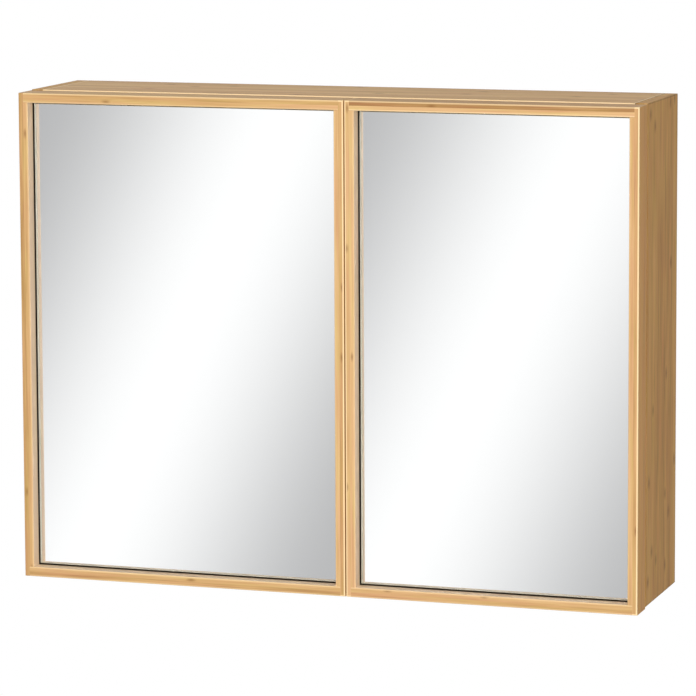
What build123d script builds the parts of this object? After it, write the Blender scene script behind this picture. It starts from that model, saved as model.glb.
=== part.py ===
# A wall-hung mirror cabinet of laminated bamboo with two full-overlay mirror doors.
# Millimetres. X runs to the right, Y into the wall and Z up. The origin lies on the wall,
# midway between the two holes for the wall screws.
import os

from build123d import *

# Carcass
cabinet_width = 780.0
cabinet_height = 600.0
cabinet_depth = 148.0
panel_thickness = 16.0
divider_thickness = 16.0
divider_offset = 28.5
panel_ease = 0.6

# Back panel in its grooves, and the two rails that lie between it and the wall
back_thickness = 5.0
groove_depth = 6.0
groove_clearance = 0.1
rail_thickness = 12.0
hanging_rail_height = 70.0
lower_rail_height = 40.0
lower_rail_lift = 30.0
wall_screw_spacing = 640.0
wall_screw_hole_radius = 3.0

# Dowels in the corners of the carcass and in the ends of the divider
dowel_radius = 4.0
dowel_length = 30.0
dowel_depth_across = 11.0
dowel_hole_clearance = 0.1
dowel_hole_extra = 0.5
dowel_inset = 35.0

# Shelves and their pins
shelf_thickness = 12.0
shelf_seat_heights = (190.0, 380.0)
shelf_front_setback = 20.0
shelf_side_gap = 1.0
shelf_back_gap = 1.0
pin_radius = 2.45
pin_hole_clearance = 0.05
pin_depth = 7.5
pin_hole_extra = 1.0
pin_tongue_reach = 8.0
pin_tongue_width = 9.0
pin_tongue_thickness = 5.0
pin_column_inset = 25.0
pin_step = 32.0

# Doors
door_thickness = 40.0
door_gap = 2.0
meeting_gap = 1.5
door_top_reveal = 1.0
door_bottom_overhang = 1.5
frame_width = 12.0
tongue_width = 6.0
frame_ease = 1.0
back_arris = 1.0
mirror_recess = 16.0
glass_thickness = 4.0
glass_gap = 2.0
glass_arris = 0.5
tape_thickness = 1.0
tape_width = 12.0
tape_end_inset = 40.0
tape_count = 4
pad_radius = 4.0
pad_clearance = 0.3
pad_inset = 30.0

# Concealed hinges, two per door
hinge_end_inset = 90.0
pivot_inset = 6.5
pivot_depth = 9.5
cup_edge_distance = 3.0
cup_radius = 17.3
cup_bore_clearance = 0.2
cup_depth = 13.0
cup_wall = 1.0
flange_thickness = 1.0
flange_rim = 1.2
ear_width = 13.0
ear_length = 60.0
ear_offset = 6.0
ear_screw_spacing = 48.0
hinge_pin_radius = 1.1
hinge_pin_fit = 0.02
running_clearance = 0.05
barrel_radius = 2.1
barrel_width = 10.0
side_play = 0.3
cheek_thickness = 2.0
cheek_reach = 2.6
arm_thickness = 2.0
arm_elbow = 13.0
arm_neck = 15.0
arm_bend_radius = 2.2
arm_length = 80.0
arm_skirt_start = 28.0
arm_skirt_thickness = 1.3
plate_thickness = 2.5
plate_setback = 37.0
plate_rib_height = 6.0
plate_wing_length = 50.0
plate_wing_width = 14.0
plate_screw_spacing = 32.0
arm_screw_places = (38.0, 68.0)
screw_radius = 1.5
screw_length = 12.0
arm_screw_length = 7.0
screw_head_radius = 3.2
screw_head_height = 1.5
screw_hole_clearance = 0.05

# Small or hidden round pieces and their holes have flat sides, to keep the model light
hidden_sides = 8
small_sides = 10
head_sides = 12
cup_sides = 24

# Planes that several pieces share
top = panel_thickness + hanging_rail_height / 2
bottom = top - cabinet_height
inner_top = top - panel_thickness
inner_bottom = bottom + panel_thickness
half_width = cabinet_width / 2
inner_half = half_width - panel_thickness
carcass_front = -cabinet_depth
back_rear = -rail_thickness
back_front = back_rear - back_thickness
door_back = carcass_front - door_gap
door_front = door_back - door_thickness
door_top = top - door_top_reveal
door_bottom = bottom - door_bottom_overhang
glass_front = door_front + mirror_recess
glass_back = glass_front + glass_thickness
board_front = glass_back + tape_thickness
hinge_x = half_width - pivot_inset
hinge_y = door_back - pivot_depth
hinge_heights = (bottom + hinge_end_inset, top - hinge_end_inset)
rear_groove = (back_front - groove_clearance, back_rear + groove_clearance)
tiny = 0.001


def block(xs, ys, zs):
    """Box between two planes on each axis, given in either order."""
    spans = [sorted(span) for span in (xs, ys, zs)]
    middle = [(low + high) / 2 for low, high in spans]
    return Pos(*middle) * Box(*[high - low for low, high in spans])


def rod(centre, radius, length, axis, sides=0):
    """Bar with its middle at centre, round or with a number of flat sides."""
    turn = {Axis.X: Rot(0, 90, 0), Axis.Y: Rot(90, 0, 0), Axis.Z: Rot(0, 0, 0)}[axis]
    section = RegularPolygon(radius, sides) if sides else Circle(radius)
    return Pos(*centre) * turn * extrude(section, length / 2, both=True)


def mirrored(shapes):
    """The same pieces on the left, which mirrors the right."""
    return [mirror(shape, about=Plane.YZ) for shape in shapes]


def for_side(side, shapes):
    return shapes if side > 0 else mirrored(shapes)


def eased_panel(panel):
    """Takes off every arris that doesn't lie against the wall."""
    free = panel.edges().filter_by(lambda edge: edge.center().Y < -tiny)
    return chamfer(free, panel_ease)


# Carcass panels


def dowel_places():
    """Two dowels along the depth of each joint."""
    return (carcass_front + dowel_inset, back_front - dowel_inset)


def corner_dowels(clearance, extra):
    """Dowels that run across from the sides into the ends of the top and the bottom."""
    centre = inner_half + dowel_depth_across - dowel_length / 2
    for side in (-1, 1):
        for z in (top - panel_thickness / 2, bottom + panel_thickness / 2):
            for y in dowel_places():
                yield rod((side * centre, y, z), dowel_radius + clearance,
                          dowel_length + 2 * extra, Axis.X, hidden_sides)


def divider_dowels(clearance, extra):
    """Upright dowels in the two ends of the divider."""
    shift = dowel_depth_across - dowel_length / 2
    for z in (inner_top + shift, inner_bottom - shift):
        for y in dowel_places():
            yield rod((divider_offset, y, z), dowel_radius + clearance,
                      dowel_length + 2 * extra, Axis.Z, hidden_sides)


def dowel_holes():
    corner = corner_dowels(dowel_hole_clearance, dowel_hole_extra)
    return list(corner) + list(divider_dowels(dowel_hole_clearance, dowel_hole_extra))


def pin_rows():
    """Depth and height of each drilled place: three heights for every shelf."""
    shelf_front = carcass_front + shelf_front_setback
    for y in (shelf_front + pin_column_inset, back_front - pin_column_inset):
        for seat in shelf_seat_heights:
            for step in (-1, 0, 1):
                yield y, inner_bottom + seat + step * pin_step - pin_tongue_thickness / 2


def pin_holes(x, depth):
    """Holes for the shelf pins, sunk by depth on both sides of the plane at x."""
    radius = pin_radius + pin_hole_clearance
    return [rod((x, y, z), radius, 2 * depth, Axis.X, small_sides) for y, z in pin_rows()]


def side_panel(side):
    face = side * inner_half
    panel = eased_panel(block((face, side * half_width), (carcass_front, 0), (bottom, top)))
    floor = face + side * groove_depth
    panel -= block((face, floor), rear_groove,
                   (inner_bottom - groove_depth, inner_top + groove_depth))
    for low, high in (hanging_rail_span(), lower_rail_span()):
        panel -= block((face, floor), (rear_groove[0], 0), (low, high))
    plate_screws = for_side(side, plate_screw_shanks(screw_hole_clearance))
    holes = pin_holes(face, pin_depth + pin_hole_extra) + dowel_holes() + plate_screws
    return panel - holes


def hanging_rail_span():
    return (inner_top - hanging_rail_height, inner_top)


def lower_rail_span():
    return (inner_bottom + lower_rail_lift, inner_bottom + lower_rail_lift + lower_rail_height)


def end_panel(z_outer, z_inner):
    """Top or bottom panel, set between the sides and grooved for the back."""
    panel = eased_panel(block((-inner_half, inner_half), (carcass_front, 0), (z_outer, z_inner)))
    away = 1 if z_outer > z_inner else -1
    panel -= block((-inner_half, inner_half), rear_groove, (z_inner, z_inner + away * groove_depth))
    return panel - dowel_holes()


def divider_panel():
    half = divider_thickness / 2
    panel = block((divider_offset - half, divider_offset + half),
                  (carcass_front, back_front), (inner_bottom, inner_top))
    front = panel.edges().filter_by(Axis.Z).group_by(Axis.Y)[0]
    panel = chamfer(front, panel_ease)
    return panel - pin_holes(divider_offset, half) - dowel_holes()


def wall_screw_holes():
    length = 4 * (rail_thickness + back_thickness)
    return [rod((side * wall_screw_spacing / 2, 0, 0), wall_screw_hole_radius, length, Axis.Y)
            for side in (-1, 1)]


def back_panel():
    reach = inner_half + groove_depth - groove_clearance
    low, high = inner_bottom - groove_depth, inner_top + groove_depth
    panel = block((-reach, reach), (back_front, back_rear),
                  (low + groove_clearance, high - groove_clearance))
    return panel - wall_screw_holes()


def wall_rail(span):
    """Rail between the back panel and the wall, housed in both sides."""
    reach = inner_half + groove_depth
    return block((-reach, reach), (back_rear, 0), span)


# Shelves


def compartments():
    """Inner left and right faces of the two compartments."""
    half = divider_thickness / 2
    return {"left": (-inner_half, divider_offset - half),
            "right": (divider_offset + half, inner_half)}


def shelf(span, seat):
    low = inner_bottom + seat
    board = block((span[0] + shelf_side_gap, span[1] - shelf_side_gap),
                  (carcass_front + shelf_front_setback, back_front - shelf_back_gap),
                  (low, low + shelf_thickness))
    front = board.edges().filter_by(Axis.X).group_by(Axis.Y)[0]
    return chamfer(front, panel_ease)


def shelf_pin(face, inward, y, seat_z):
    """Peg in the panel with a flat tongue under the shelf."""
    z = seat_z - pin_tongue_thickness / 2
    peg = rod((face - inward * pin_depth / 2, y, z), pin_radius, pin_depth, Axis.X, small_sides)
    tongue = block((face, face + inward * pin_tongue_reach),
                   (y - pin_tongue_width / 2, y + pin_tongue_width / 2),
                   (seat_z - pin_tongue_thickness, seat_z))
    nose = tongue.edges().filter_by(Axis.Z).sort_by(Axis.X)
    nose = nose[-2:] if inward > 0 else nose[:2]
    return peg + chamfer(nose, pin_tongue_width / 4)


def shelf_pins():
    columns = sorted({y for y, _ in pin_rows()})
    for left_face, right_face in compartments().values():
        for face, inward in ((left_face, 1), (right_face, -1)):
            for seat in shelf_seat_heights:
                for y in columns:
                    yield shelf_pin(face, inward, y, inner_bottom + seat)


# Hinges. Each is drawn for the right door with its pivot at the origin, X towards the
# outer side and Y into the cabinet, and then set at its height on the right or mirrored.

cup_bore_radius = cup_radius + cup_bore_clearance
cup_x = pivot_inset - cup_edge_distance - cup_bore_radius
mouth_y = pivot_depth
panel_face_x = pivot_inset - panel_thickness
plate_face_x = panel_face_x - plate_thickness
rib_face_x = plate_face_x - plate_rib_height
plate_y = pivot_depth + door_gap + plate_setback
skirt_face_x = plate_face_x - side_play


def hinge_copies(shape):
    """One copy of a hinge piece at each hinge height on the right side."""
    return [Pos(hinge_x, hinge_y, z) * shape for z in hinge_heights]


def screw(head_seat, direction, axis, length=screw_length):
    """Pan-head screw without its thread: shank behind the head's seat."""
    x, y, z = head_seat
    ux, uy = direction
    half = length / 2
    shank = rod((x + ux * half, y + uy * half, z), screw_radius, length, axis, hidden_sides)
    lift = screw_head_height / 2
    head = rod((x - ux * lift, y - uy * lift, z), screw_head_radius, screw_head_height, axis,
               head_sides)
    return shank + head


def ear_screw_seats():
    x = cup_x - ear_offset
    return [(x, mouth_y + flange_thickness, side * ear_screw_spacing / 2) for side in (-1, 1)]


def cup_screws():
    return [screw(seat, (0, -1), Axis.Y) for seat in ear_screw_seats()]


def hinge_cup():
    """Steel cup with its flange, the cheeks that hold the pin and the slot for the arm."""
    def disc(radius, y_low, y_high):
        middle = (cup_x, (y_low + y_high) / 2, 0)
        return rod(middle, radius, y_high - y_low, Axis.Y, cup_sides)

    floor_y = mouth_y - cup_depth + cup_wall
    flange_top = mouth_y + flange_thickness
    ear_x = cup_x - ear_offset
    ears = block((ear_x - ear_width / 2, ear_x + ear_width / 2), (mouth_y, flange_top),
                 (-ear_length / 2, ear_length / 2))
    ears = chamfer(ears.edges().filter_by(Axis.Y), ear_width / 4)
    cup = disc(cup_radius, mouth_y - cup_depth, mouth_y)
    cup += disc(cup_bore_radius + flange_rim, mouth_y, flange_top) + ears
    cup -= disc(cup_radius - cup_wall, floor_y, flange_top)
    clear = barrel_width / 2 + side_play
    for side in (-1, 1):
        cheek = block((-cheek_reach, cup_radius), (floor_y, cheek_reach),
                      (side * clear, side * (clear + cheek_thickness)))
        cup += cheek & disc(cup_radius, mouth_y - cup_depth, mouth_y)
    cup -= block((0, cup_x + cup_bore_radius), (floor_y, flange_top), (-clear, clear))
    span = barrel_width + 2 * side_play + 2 * cheek_thickness
    cup -= rod((0, 0, 0), hinge_pin_radius + hinge_pin_fit, span, Axis.Z, head_sides)
    for x, _, z in ear_screw_seats():
        cup -= rod((x, mouth_y, z), screw_radius + screw_hole_clearance,
                   4 * flange_thickness, Axis.Y, hidden_sides)
    return cup


def hinge_pin():
    length = barrel_width + 2 * side_play + 2 * cheek_thickness
    return rod((0, 0, 0), hinge_pin_radius, length, Axis.Z, head_sides)


def hinge_arm():
    """Cranked strip from the barrel on the pin to a channel that sits on the plate."""
    web_x = rib_face_x - arm_thickness / 2
    step = arm_neck + abs(web_x + arm_elbow) + arm_thickness
    bend = [(0, 0), (-arm_elbow, 0), (-arm_elbow, arm_neck), (web_x, step), (web_x, arm_length)]
    line = FilletPolyline(*bend, radius=arm_bend_radius)
    strip = trace(line, arm_thickness) + Circle(barrel_radius)
    strip -= Circle(hinge_pin_radius + running_clearance)
    arm = extrude(strip, barrel_width / 2, both=True)
    half = barrel_width / 2 + side_play + arm_skirt_thickness
    outer_x = web_x - arm_thickness / 2
    skirt = (arm_skirt_start, arm_length)
    channel = block((outer_x, skirt_face_x), skirt, (-half, half))
    inside = half - arm_skirt_thickness
    channel -= block((rib_face_x, skirt_face_x), skirt, (-inside, inside))
    arm += channel
    for y in arm_screw_places:
        arm -= rod((web_x, y, 0), screw_radius + screw_hole_clearance, 2 * arm_thickness, Axis.X,
                   hidden_sides)
    return arm


def plate_screw_seats():
    return [(plate_face_x, plate_y, side * plate_screw_spacing / 2) for side in (-1, 1)]


def plate_screw_shanks(clearance):
    """Pilot holes for the plate's screws in the side panel."""
    shanks = []
    for x, y, z in plate_screw_seats():
        hole = rod((x, y, z), screw_radius + clearance, 2 * (screw_length + clearance), Axis.X,
                   hidden_sides)
        shanks += hinge_copies(hole)
    return shanks


def plate_screws():
    return [screw(seat, (1, 0), Axis.X) for seat in plate_screw_seats()]


def arm_screws():
    seat_x = rib_face_x - arm_thickness
    return [screw((seat_x, y, 0), (1, 0), Axis.X, arm_screw_length) for y in arm_screw_places]


def hinge_plate():
    """Mounting plate: a cross on the side panel with the rib that carries the arm."""
    rib_end = arm_length - arm_thickness
    rib_start = arm_skirt_start + arm_thickness
    half_base = barrel_width / 2 + side_play + arm_skirt_thickness
    base = block((panel_face_x, plate_face_x), (rib_start, rib_end), (-half_base, half_base))
    half_wing = plate_wing_width / 2
    wings = block((panel_face_x, plate_face_x), (plate_y - half_wing, plate_y + half_wing),
                  (-plate_wing_length / 2, plate_wing_length / 2))
    wings = chamfer(wings.edges().filter_by(Axis.X), half_wing / 2)
    rib = block((plate_face_x, rib_face_x), (rib_start, rib_end),
                (-barrel_width / 2, barrel_width / 2))
    plate = base + wings + rib
    holes = [(seat[1], seat[2]) for seat in plate_screw_seats()]
    holes += [(y, 0) for y in arm_screw_places]
    for y, z in holes:
        plate -= rod((panel_face_x, y, z), screw_radius + screw_hole_clearance,
                     4 * (plate_rib_height + plate_thickness), Axis.X, hidden_sides)
    return plate


# Doors


def door_edges(side):
    """Outer edge on the hinge side and edge at the meeting line."""
    return side * half_width, divider_offset + side * meeting_gap / 2


def near(value, *places):
    return any(abs(value - place) < tiny for place in places)


def on_door_front(edge):
    return near(edge.center().Y, door_front)


def cup_bores(side):
    """Room in the back of a door for its hinge cups."""
    depth = cup_depth + cup_bore_clearance
    bore = rod((cup_x, mouth_y - depth / 2, 0), cup_bore_radius, depth, Axis.Y)
    return for_side(side, hinge_copies(bore))


def stile(edge, inward):
    """Upright strip whose outer tongue runs past the ends of the rails."""
    inner = edge + inward * frame_width
    step = edge + inward * tongue_width
    strip = block((edge, inner), (door_front, door_back), (door_bottom, door_top))
    for end, away in ((door_top, -1), (door_bottom, 1)):
        strip -= block((step, inner), (door_front, door_back), (end, end + away * frame_width))
    uprights = strip.edges().filter_by(Axis.Z)
    front = uprights.filter_by(on_door_front).filter_by(lambda item: item.length > 2 * frame_width)
    ends = strip.edges().filter_by(Axis.X).filter_by(on_door_front)
    ends = ends.filter_by(lambda item: near(item.center().Z, door_top, door_bottom))
    strip = fillet(front + ends, frame_ease)
    rear = strip.edges().filter_by(Axis.Z).filter_by(
        lambda item: near(item.center().X, edge) and near(item.center().Y, door_back))
    return chamfer(rear, back_arris)


def rail(side, end, away):
    """Level strip between the tongues of the two stiles."""
    hinge_edge, meeting_edge = door_edges(side)
    span = (hinge_edge - side * tongue_width, meeting_edge + side * tongue_width)
    strip = block(span, (door_front, door_back), (end, end + away * frame_width))
    return fillet(strip.edges().filter_by(Axis.X).filter_by(on_door_front), frame_ease)


def opening(side, gap):
    """Spans of the frame's opening, drawn in by gap all round."""
    hinge_edge, meeting_edge = door_edges(side)
    inset = frame_width + gap
    return ((hinge_edge - side * inset, meeting_edge + side * inset),
            (door_bottom + inset, door_top - inset))


def mirror_glass(side):
    xs, zs = opening(side, glass_gap)
    glass = block(xs, (glass_front, glass_back), zs)
    return chamfer(glass.edges().group_by(Axis.Y)[0], glass_arris)


def mirror_tape(side):
    (x_low, x_high), (z_low, z_high) = [sorted(span) for span in opening(side, glass_gap)]
    pitch = (x_high - x_low) / tape_count
    for index in range(tape_count):
        x = x_low + (index + 0.5) * pitch
        yield block((x - tape_width / 2, x + tape_width / 2), (glass_back, board_front),
                    (z_low + tape_end_inset, z_high - tape_end_inset))


def backing_board(side):
    xs, zs = opening(side, 0)
    board = block(xs, (board_front, door_back), zs) - cup_bores(side)
    pilots = []
    for x, y, z in ear_screw_seats():
        hole = rod((x, y, z), screw_radius + screw_hole_clearance, 2 * screw_length, Axis.Y,
                   hidden_sides)
        pilots += hinge_copies(hole)
    return board - for_side(side, pilots)


def bumper_pads(side):
    """Soft studs on the rails that meet the front edges of the top and the bottom."""
    meeting_edge = door_edges(side)[1]
    thickness = door_gap - pad_clearance
    for z in (door_top - frame_width / 2, door_bottom + frame_width / 2):
        pad = rod((meeting_edge + side * pad_inset, door_back + thickness / 2, z),
                  pad_radius, thickness, Axis.Y, head_sides)
        yield chamfer(pad.faces().sort_by(Axis.Y)[-1].edges(), thickness / 2)


def door(name, side):
    """All pieces that swing with one door."""
    hinge_edge, meeting_edge = door_edges(side)
    screws = [copy for item in cup_screws() for copy in hinge_copies(item)]
    return {
        name + "_hinge_stile": stile(hinge_edge, -side) - cup_bores(side),
        name + "_meeting_stile": stile(meeting_edge, side),
        name + "_top_rail": rail(side, door_top, -1),
        name + "_bottom_rail": rail(side, door_bottom, 1),
        name + "_mirror_glass": mirror_glass(side),
        name + "_mirror_tape": list(mirror_tape(side)),
        name + "_backing_board": backing_board(side),
        name + "_bumper_pads": list(bumper_pads(side)),
        name + "_hinge_cups": for_side(side, hinge_copies(hinge_cup())),
        name + "_hinge_pins": for_side(side, hinge_copies(hinge_pin())),
        name + "_cup_screws": for_side(side, screws),
    }


def carcass():
    pieces = {
        "side_panel_left": side_panel(-1),
        "side_panel_right": side_panel(1),
        "top_panel": end_panel(top, inner_top),
        "bottom_panel": end_panel(bottom, inner_bottom),
        "divider_panel": divider_panel(),
        "back_panel": back_panel(),
        "hanging_rail": wall_rail(hanging_rail_span()) - wall_screw_holes(),
        "lower_wall_rail": wall_rail(lower_rail_span()),
        "carcass_dowels": list(corner_dowels(0, 0)) + list(divider_dowels(0, 0)),
        "shelf_pins": list(shelf_pins()),
    }
    for name, span in compartments().items():
        for place, seat in zip(("lower", "upper"), shelf_seat_heights):
            pieces[name + "_shelf_" + place] = shelf(span, seat)
    for name, side in (("left", -1), ("right", 1)):
        for node, parts in (("hinge_arms", [hinge_arm()]), ("hinge_plates", [hinge_plate()]),
                            ("plate_screws", plate_screws()), ("arm_screws", arm_screws())):
            copies = [copy for item in parts for copy in hinge_copies(item)]
            pieces[name + "_" + node] = for_side(side, copies)
    return pieces


def write(name, shape):
    """One STEP file per node; a list becomes a group of separate solids."""
    items = shape if isinstance(shape, list) else [shape]
    solids = [solid for item in items for solid in item.solids()]
    export_step(solids[0] if len(solids) == 1 else Compound(solids), f"parts/{name}.step")


os.makedirs("parts", exist_ok=True)
model = {**carcass(), **door("left", -1), **door("right", 1)}
for node_name, node_shape in model.items():
    write(node_name, node_shape)
print(len(model), "nodes written")
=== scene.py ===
import math

import bpy
import numpy as np
from mathutils import Matrix, Vector


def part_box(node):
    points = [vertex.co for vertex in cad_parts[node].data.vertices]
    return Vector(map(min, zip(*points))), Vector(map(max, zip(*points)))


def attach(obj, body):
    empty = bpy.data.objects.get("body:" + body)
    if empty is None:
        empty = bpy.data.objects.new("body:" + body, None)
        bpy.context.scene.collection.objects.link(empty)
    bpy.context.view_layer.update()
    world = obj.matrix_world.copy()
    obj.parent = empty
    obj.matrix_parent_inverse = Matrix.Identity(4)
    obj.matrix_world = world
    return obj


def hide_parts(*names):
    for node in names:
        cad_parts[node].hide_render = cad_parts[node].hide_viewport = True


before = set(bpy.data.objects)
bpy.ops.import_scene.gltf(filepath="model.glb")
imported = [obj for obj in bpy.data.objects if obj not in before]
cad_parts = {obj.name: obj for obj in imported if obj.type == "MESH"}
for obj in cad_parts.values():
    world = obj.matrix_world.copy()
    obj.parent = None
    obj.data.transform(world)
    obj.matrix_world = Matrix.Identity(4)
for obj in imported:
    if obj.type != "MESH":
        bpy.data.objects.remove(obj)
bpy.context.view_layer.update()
print("frame loaded:", len(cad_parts), "CAD nodes")


# sRGB hex to the linear colour that a socket takes
def linear(hexColour):
    parts = [int(hexColour[i:i + 2], 16) / 255 for i in (0, 2, 4)]
    return [c / 12.92 if c <= 0.04045 else ((c + 0.055) / 1.055) ** 2.4 for c in parts] + [1.0]


# Adds one node. Settings are its properties; links are its sockets' values, or the sockets that feed them.
def addNode(tree, kind, links=None, **settings):
    node = tree.nodes.new(kind)
    for name, value in settings.items():
        setattr(node, name, value)
    for socket, value in (links or {}).items():
        if isinstance(value, bpy.types.Node):
            value = value.outputs[0]
        if isinstance(value, bpy.types.NodeSocket):
            tree.links.new(value, node.inputs[socket])
        else:
            node.inputs[socket].default_value = value
    return node


# An empty material, with no nodes; returns the material and its tree
def newMaterial(name):
    material = bpy.data.materials.new(name)
    material.use_nodes = True
    material.node_tree.nodes.clear()
    return material, material.node_tree


# Gives a CAD node one material
def wear(nodeName, material):
    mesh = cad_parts[nodeName].data
    mesh.materials.clear()
    mesh.materials.append(material)


def addObject(name, data):
    thing = bpy.data.objects.new(name, data)
    bpy.context.scene.collection.objects.link(thing)
    return thing


# Camera

camera = {
    "place": (1.46622, -4.52216, 0.43469),  # metres
    "turn": 18.3,        # degrees to the left of +Y
    "down": 6.945,       # degrees below the horizon
    "roll": 0.253,       # degrees
    "sensor": 36,        # mm
    "lens": 199.34,      # mm
    "shift": -0.15,      # sensor widths
    "clip": 50,          # metres
}


def makeCamera():
    turn, down, roll = (math.radians(camera[key]) for key in ("turn", "down", "roll"))
    right = Vector((math.cos(turn), math.sin(turn), 0))
    forward = Vector((-math.sin(turn) * math.cos(down), math.cos(turn) * math.cos(down), -math.sin(down)))
    up = right.cross(forward)
    across = math.cos(roll) * right - math.sin(roll) * up
    upright = math.sin(roll) * right + math.cos(roll) * up
    data = bpy.data.cameras.new("camera")
    data.sensor_width = camera["sensor"]
    data.lens = camera["lens"]
    data.shift_y = camera["shift"]
    data.clip_end = camera["clip"]
    thing = addObject("camera", data)
    turned = Matrix((across, upright, -forward)).transposed().to_4x4()
    thing.matrix_world = Matrix.Translation(camera["place"]) @ turned
    bpy.context.scene.camera = thing


makeCamera()
print("camera set")


# Bamboo

# Each board is glued up from strips: grain runs along the first axis letter, strips lie side by side
# along the second, and plies are stacked along the third. Tone lightens a board and warmth reddens it.
# A frame piece is two strips, and pair shifts the tone of the lower and of the higher one. The arris
# entry says how strongly the eased edges carry a painted highlight, a painted shade on the side panels, at
# the low and at the high end of an axis. Seam says at which end of x a side panel meets the top and bottom
# panels.
# Butted ends meet another board, so they have no painted arris.
boards = {
    "left_hinge_stile": {"cut": "frame", "axes": "zxy", "tone": 0.1, "warmth": 0.5, "pair": (-0.22, 0.1),
                         "arris": ("x", 0.0, 0.35)},
    "left_meeting_stile": {"cut": "frame", "axes": "zxy", "tone": 0.1, "warmth": 0.55, "pair": (0.08, 0.0),
                           "arris": ("x", 0.2, 0.95)},
    "left_top_rail": {"cut": "frame", "axes": "xzy", "tone": 0.08, "warmth": 0.4, "pair": (0.1, -0.12),
                      "arris": ("z", 0.4, 0.6), "butted": True},
    "left_bottom_rail": {"cut": "frame", "axes": "xzy", "tone": 0.07, "warmth": 0.5, "pair": (-0.1, 0.08),
                         "arris": ("z", 0.5, 0.5), "butted": True},
    "right_hinge_stile": {"cut": "frame", "axes": "zxy", "tone": 0.12, "warmth": 0.6, "pair": (0.12, -0.02),
                          "arris": ("x", 0.2, 1.0)},
    "right_meeting_stile": {"cut": "frame", "axes": "zxy", "tone": 0.1, "warmth": 0.55, "pair": (0.08, 0.04),
                            "arris": ("x", 0.95, 0.3)},
    "right_top_rail": {"cut": "frame", "axes": "xzy", "tone": 0.06, "warmth": 0.6, "pair": (0.14, -0.34),
                       "arris": ("z", 0.7, 0.6), "butted": True},
    "right_bottom_rail": {"cut": "frame", "axes": "xzy", "tone": 0.02, "warmth": 0.7, "pair": (-0.08, 0.08),
                          "arris": ("z", 0.5, 0.5), "butted": True},
    "side_panel_left": {"cut": "panel", "axes": "zyx", "tone": 0.1, "warmth": 0.5, "seam": "high",
                        "arris": ("y", 0.35, 0.4)},
    "side_panel_right": {"cut": "panel", "axes": "zyx", "tone": 0.1, "warmth": 0.6, "seam": "low",
                         "arris": ("y", 0.35, 0.4)},
    "divider_panel": {"cut": "panel", "axes": "zyx", "tone": 0.0, "warmth": 0.5, "butted": True},
    # its higher tone and the paler lacquer of the top cut are painted light on the cabinet's top
    "top_panel": {"cut": "top", "axes": "xyz", "tone": 0.16, "warmth": 0.35, "arris": ("y", 1.0, 0.9)},
    "bottom_panel": {"cut": "panel", "axes": "xyz", "tone": 0.0, "warmth": 0.5},
    "left_shelf_lower": {"cut": "shelf", "axes": "xyz", "tone": 0.0, "warmth": 0.5},
    "left_shelf_upper": {"cut": "shelf", "axes": "xyz", "tone": 0.05, "warmth": 0.4},
    "right_shelf_lower": {"cut": "shelf", "axes": "xyz", "tone": -0.03, "warmth": 0.6},
    "right_shelf_upper": {"cut": "shelf", "axes": "xyz", "tone": 0.02, "warmth": 0.5},
    "hanging_rail": {"cut": "rail", "axes": "xzy", "tone": 0.0, "warmth": 0.5},
    "lower_wall_rail": {"cut": "rail", "axes": "xzy", "tone": -0.05, "warmth": 0.6},
    "back_panel": {"cut": "ply", "axes": "zxy", "tone": 0.05, "warmth": 0.4},
    "left_backing_board": {"cut": "ply", "axes": "zxy", "tone": 0.03, "warmth": 0.4},
    "right_backing_board": {"cut": "ply", "axes": "zxy", "tone": 0.0, "warmth": 0.45},
}
cuts = {  # mm; streak is the width of a streak in the wood, and contrast scales its change of shade
    "frame": {"strip": 6.0, "ply": 20.0, "knotEvery": 190.0, "knotLong": 6.0, "knotWide": 2.0, "knots": 0.35,
              "streak": 5.0, "contrast": 1.0, "lacquer": "FFFFFF", "gloss": 0.25},
    # the panel's yellower lacquer is painted shade, a deeper colour for the side panels that turn away from
    # the light
    "panel": {"strip": 21.0, "ply": 5.34, "knotEvery": 150.0, "knotLong": 9.0, "knotWide": 6.0, "knots": 0.4,
              "streak": 12.0, "contrast": 1.5, "lacquer": "FFF1C8", "gloss": 0.1},
    # painted light: the top is the panel's wood under a paler lacquer, for the cabinet's top in the light
    "top": {"strip": 21.0, "ply": 5.34, "knotEvery": 150.0, "knotLong": 9.0, "knotWide": 6.0, "knots": 0.4,
            "streak": 12.0, "contrast": 1.2, "lacquer": "FFF8E6", "gloss": 0.35},
    "shelf": {"strip": 21.0, "ply": 4.0, "knotEvery": 190.0, "knotLong": 8.0, "knotWide": 5.0, "knots": 0.4,
              "streak": 9.0, "contrast": 1.0, "lacquer": "FFFBF0", "gloss": 0.2},
    "rail": {"strip": 20.0, "ply": 4.0, "knotEvery": 230.0, "knotLong": 8.0, "knotWide": 5.0, "knots": 0.4,
             "streak": 9.0, "contrast": 1.0, "lacquer": "FFFBF0", "gloss": 0.2},
    "ply": {"strip": 24.0, "ply": 1.67, "knotEvery": 260.0, "knotLong": 8.0, "knotWide": 5.0, "knots": 0.3,
            "streak": 11.0, "contrast": 0.9, "lacquer": "FFFFFF", "gloss": 0.15},
}
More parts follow.
